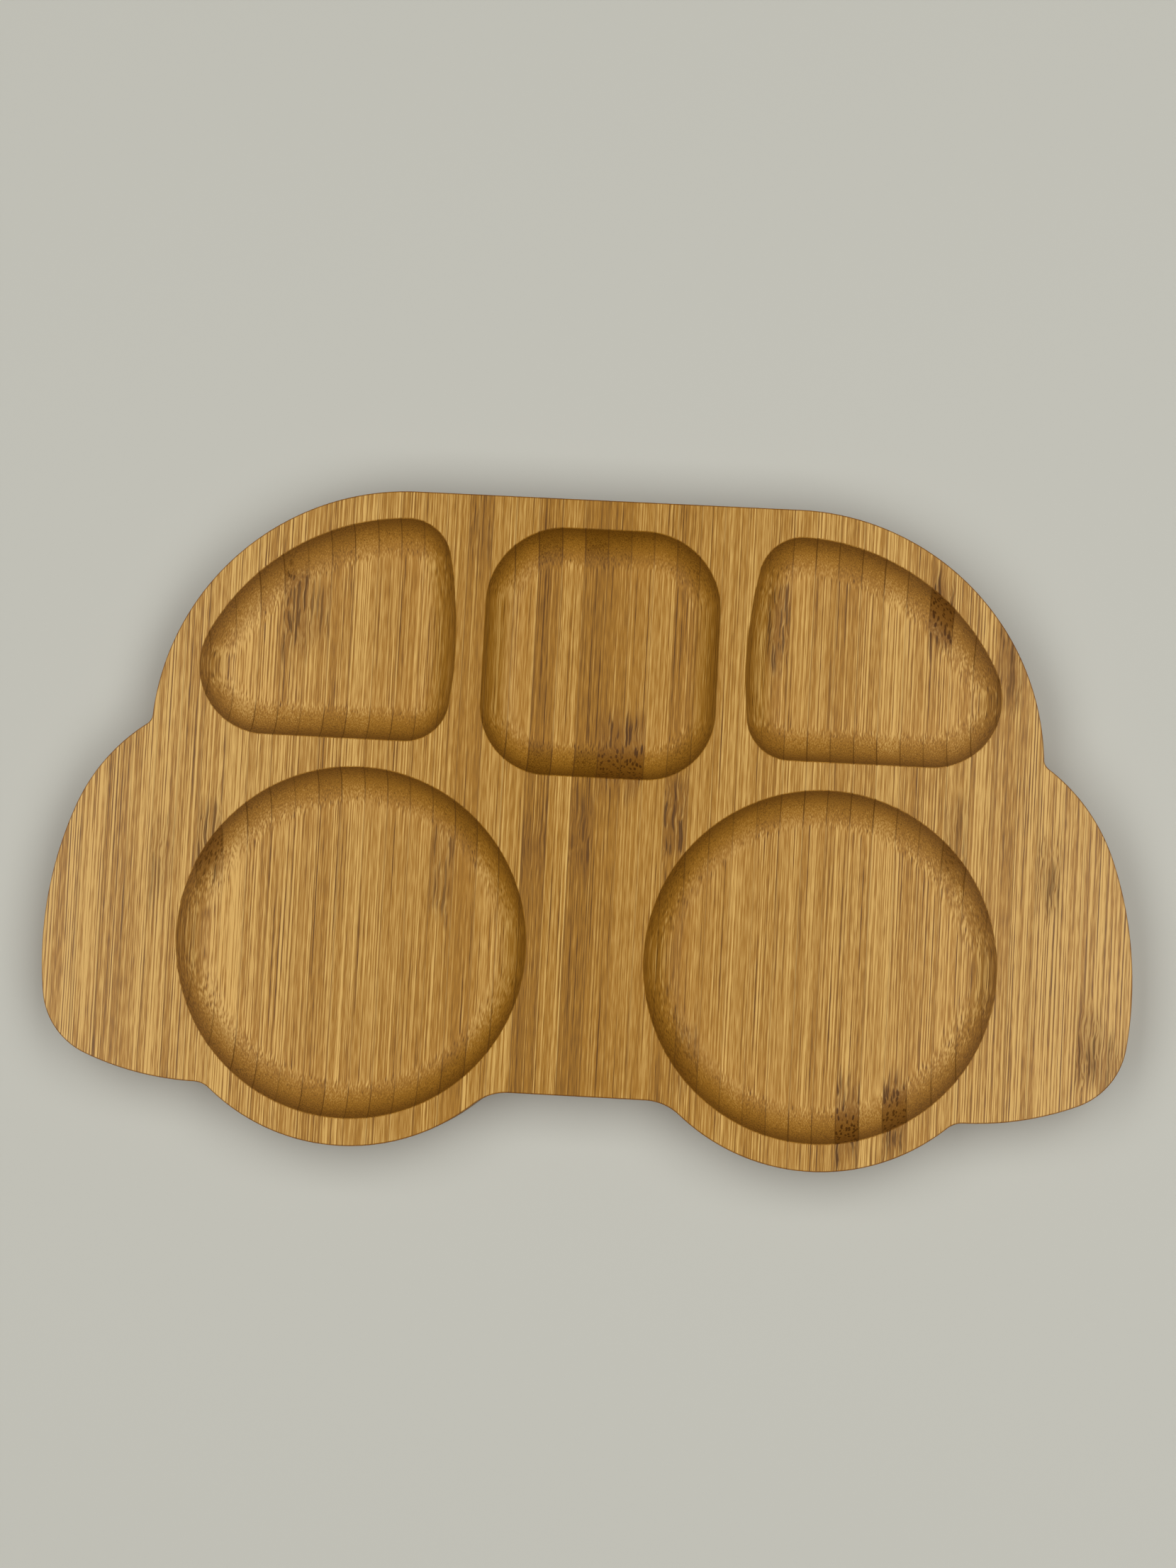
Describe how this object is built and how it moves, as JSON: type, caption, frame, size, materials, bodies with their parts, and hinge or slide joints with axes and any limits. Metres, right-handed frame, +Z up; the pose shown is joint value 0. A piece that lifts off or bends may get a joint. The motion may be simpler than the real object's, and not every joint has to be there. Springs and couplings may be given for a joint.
{
  "type": "bamboo tray",
  "caption": "Flat bamboo tray with the outline of a car, glued up from upright strips, with round wheel wells and window wells whose walls curve into their floors.",
  "frame": {"origin": "middle of the underside, under the middle of the tray's length and height", "axes": "+X along the car, +Y from its wheels to its roof, +Z up out of the wells"},
  "size_m": [0.27, 0.1634, 0.015],
  "materials": {
    "bamboo": "caramel edge-grain bamboo, sanded and oiled to a low satin sheen"
  },
  "bodies": {
    "root": {"strip_01": "bamboo", "strip_02": "bamboo", "strip_03": "bamboo", "strip_04": "bamboo", "strip_05": "bamboo", "strip_06": "bamboo", "strip_07": "bamboo", "strip_08": "bamboo", "strip_09": "bamboo", "strip_10": "bamboo", "strip_11": "bamboo", "strip_12": "bamboo", "strip_13": "bamboo", "strip_14": "bamboo", "strip_15": "bamboo", "strip_16": "bamboo", "strip_17": "bamboo", "strip_18": "bamboo", "strip_19": "bamboo", "strip_20": "bamboo", "strip_21": "bamboo", "strip_22": "bamboo", "strip_23": "bamboo", "strip_24": "bamboo", "strip_25": "bamboo", "strip_26": "bamboo", "strip_27": "bamboo", "strip_28": "bamboo", "strip_29": "bamboo", "strip_30": "bamboo", "strip_31": "bamboo", "strip_32": "bamboo", "strip_33": "bamboo", "strip_34": "bamboo", "strip_35": "bamboo", "strip_36": "bamboo", "strip_37": "bamboo", "strip_38": "bamboo", "strip_39": "bamboo", "strip_40": "bamboo", "strip_41": "bamboo", "strip_42": "bamboo", "strip_43": "bamboo", "strip_44": "bamboo", "strip_45": "bamboo", "strip_46": "bamboo", "strip_47": "bamboo", "strip_48": "bamboo"}
  },
  "joints": []
}
